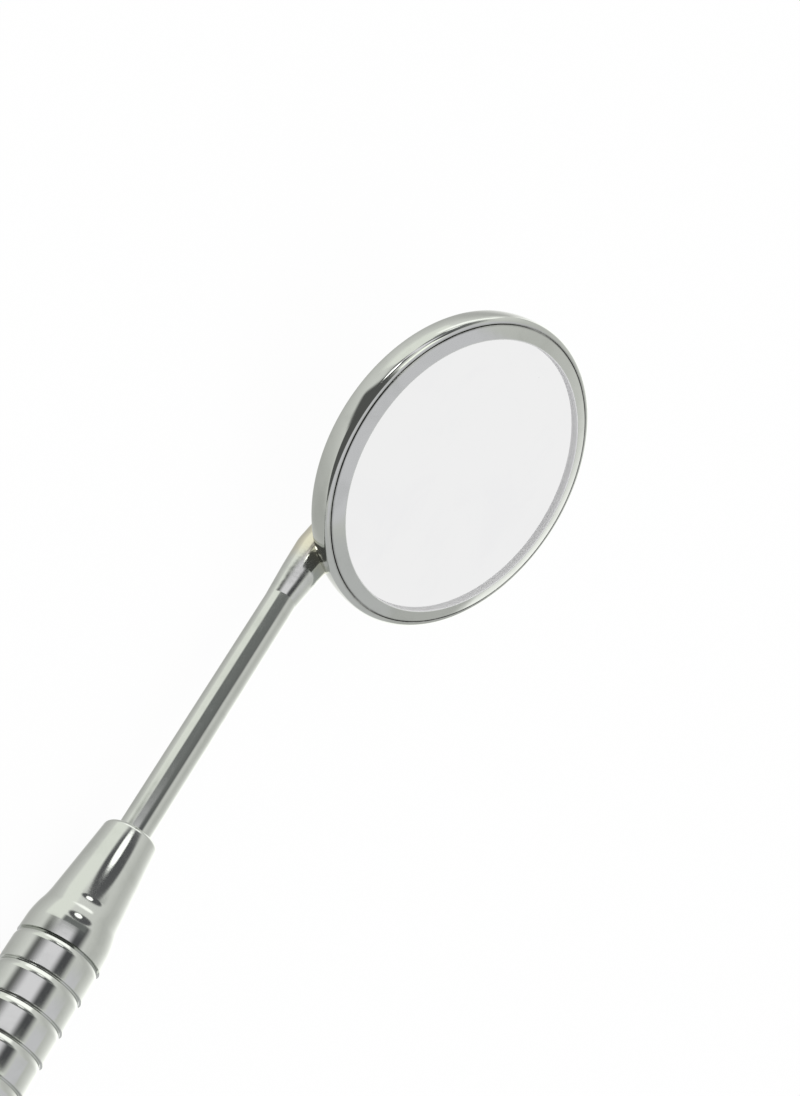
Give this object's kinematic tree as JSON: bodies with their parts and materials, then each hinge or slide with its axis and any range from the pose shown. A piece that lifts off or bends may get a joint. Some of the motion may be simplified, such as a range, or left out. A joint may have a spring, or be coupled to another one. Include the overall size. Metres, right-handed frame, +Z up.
{
  "type": "mouth mirror",
  "caption": "Dental mouth mirror: a small round mirror in a steel rim on a thin stem that screws into a hollow, ringed metal handle.",
  "frame": {"origin": "on the handle's axis, at the centre of the flat end of its tail", "axes": "+X along the handle's axis towards the mirror head, +Z up; the mirror face looks up and back towards the hand, and Y crosses the symmetry plane"},
  "size_m": [0.1672, 0.025, 0.0163],
  "materials": {
    "polished_steel": "polished",
    "glass": "clear",
    "silver": "mirror",
    "sealing_pad": "matt",
    "braze": "polished"
  },
  "bodies": {
    "handle": {"handle_tube": "polished_steel", "nose_socket": "polished_steel", "end_cap": "polished_steel"},
    "mirror": {"stem": "polished_steel", "solder_fillet": "braze", "head_cup": "polished_steel", "bezel_ring": "polished_steel", "mirror_glass": "glass", "silver_layer": "silver", "backing_pad": "sealing_pad"}
  },
  "joints": [
    {"name": "head_unscrew", "type": "hinge", "parent": "handle", "child": "mirror", "pos_m": [0.113, 0, 0], "axis": [1, 0, 0], "range_deg": [0, 3200]}
  ]
}
